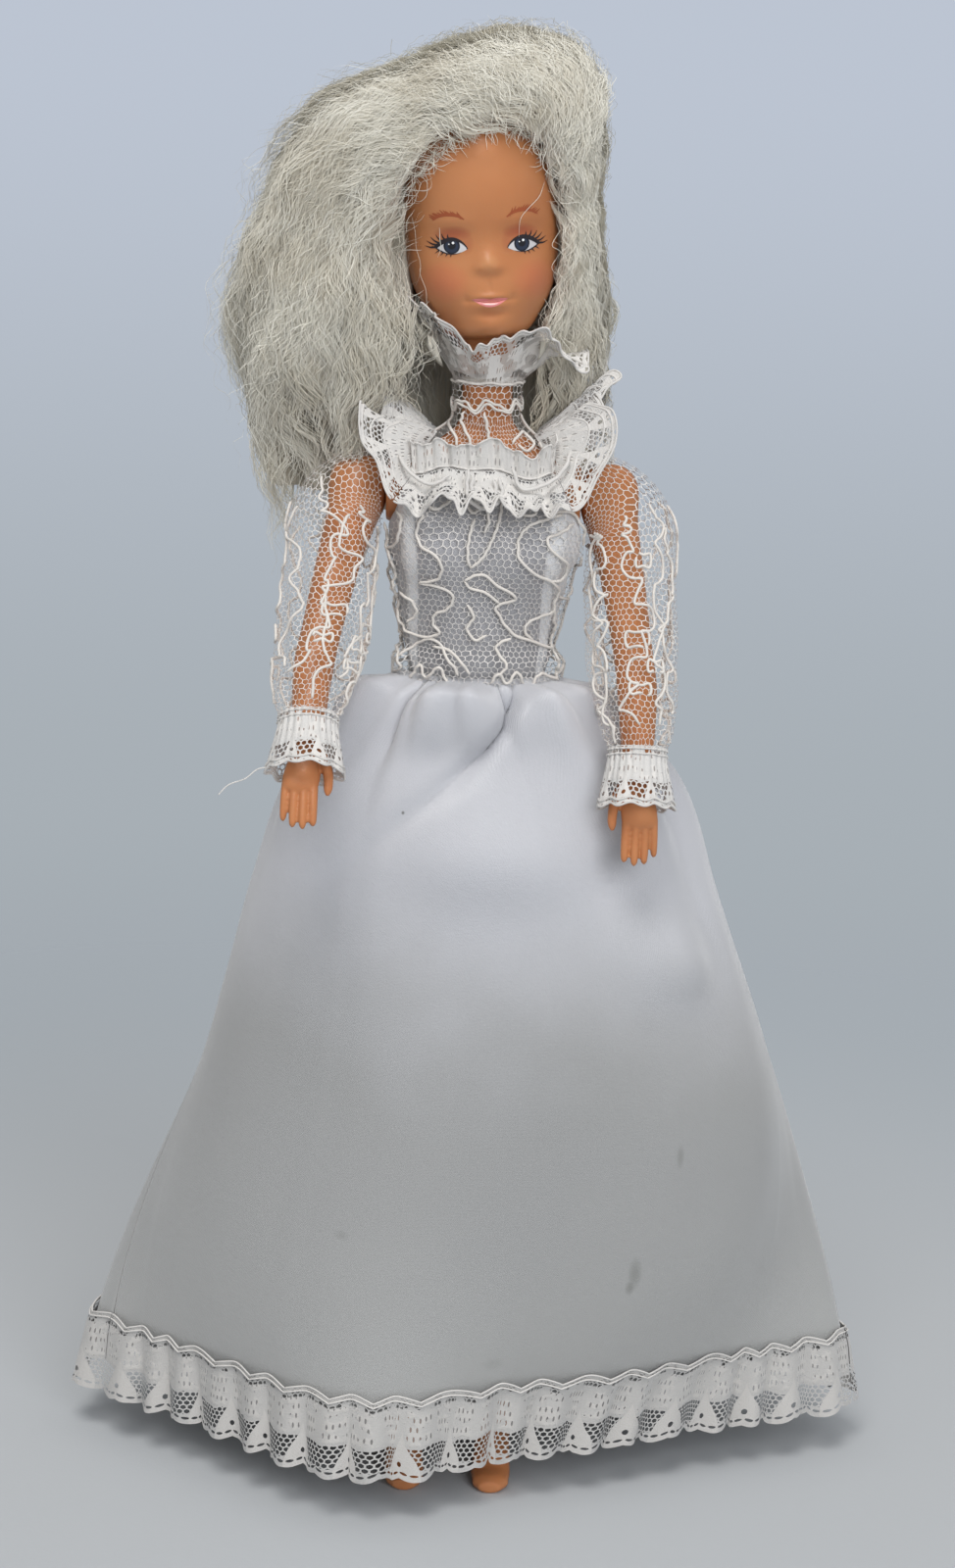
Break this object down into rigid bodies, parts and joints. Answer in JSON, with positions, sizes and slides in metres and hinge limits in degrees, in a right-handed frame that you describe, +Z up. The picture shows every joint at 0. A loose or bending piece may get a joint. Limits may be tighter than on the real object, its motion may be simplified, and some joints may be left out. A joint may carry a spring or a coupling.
{
  "type": "fashion doll in a bridal gown",
  "caption": "Standing fashion doll dressed as a bride, with turning head, swinging arms and legs, and a full satin gown with corded lace sleeves, collar, flounce and hem trim.",
  "frame": {"origin": "on the surface the doll stands on, under the middle of its bounding box", "axes": "+Z up, the doll faces -Y, +X is the doll's left"},
  "size_m": [0.1782, 0.095, 0.3066],
  "materials": {
    "vinyl": "soft tan vinyl with a slight sheen",
    "hard_plastic": "hard tan plastic",
    "inner_plastic": "plain cream plastic",
    "steel": "small plated fittings",
    "satin": "white satin with a soft sheen",
    "lace": "ivory net with raised cord and scalloped edges",
    "hair": "pale blonde rooted fibre"
  },
  "bodies": {
    "torso": {"torso_front": "hard_plastic", "torso_back": "hard_plastic", "hip_pin": "steel", "neck_knob": "inner_plastic", "bodice_front": "satin", "bodice_back_left": "satin", "bodice_back_right": "satin", "lace_front": "lace", "lace_back_left": "lace", "lace_back_right": "lace", "waist_band": "satin", "waist_snap_stud": "steel", "waist_snap_socket": "steel", "neck_band": "lace", "neck_snap_stud": "steel", "neck_snap_socket": "steel", "collar_ruffle": "lace", "flounce_front": "lace", "flounce_left_shoulder": "lace", "flounce_back": "lace", "flounce_right_shoulder": "lace", "skirt_front": "satin", "skirt_back": "satin", "hem_trim_front": "lace", "hem_trim_back": "lace"},
    "head": {"head": "vinyl", "hair_front_roll": "hair", "hair_crown": "hair", "hair_right_wave": "hair", "hair_left_wave": "hair", "hair_fall": "hair"},
    "right_arm": {"right_arm": "vinyl", "right_sleeve": "lace", "right_cuff": "lace"},
    "left_arm": {"left_arm": "vinyl", "left_sleeve": "lace", "left_cuff": "lace"},
    "right_leg": {"right_leg": "vinyl", "right_leg_core": "inner_plastic"},
    "left_leg": {"left_leg": "vinyl", "left_leg_core": "inner_plastic"}
  },
  "joints": [
    {"name": "neck_turn", "type": "hinge", "parent": "torso", "child": "head", "pos_m": [-0.00446, -0.00245, 0.24], "axis": [0, 0, 1], "range_deg": [-70, 70], "deforming": ["hair_fall"]},
    {"name": "right_shoulder", "type": "hinge", "parent": "torso", "child": "right_arm", "pos_m": [-0.00446, -0.00245, 0.216], "axis": [1, 0, 0], "range_deg": [-78, 12], "deforming": ["flounce_right_shoulder"]},
    {"name": "left_shoulder", "type": "hinge", "parent": "torso", "child": "left_arm", "pos_m": [-0.00446, -0.00245, 0.216], "axis": [1, 0, 0], "range_deg": [-92, 2], "deforming": ["flounce_left_shoulder"]},
    {"name": "right_hip", "type": "hinge", "parent": "torso", "child": "right_leg", "pos_m": [-0.00446, -0.00245, 0.146], "axis": [1, 0, 0], "range_deg": [-4, 15]},
    {"name": "left_hip", "type": "hinge", "parent": "torso", "child": "left_leg", "pos_m": [-0.00446, -0.00245, 0.146], "axis": [1, 0, 0], "range_deg": [-4, 15]}
  ]
}
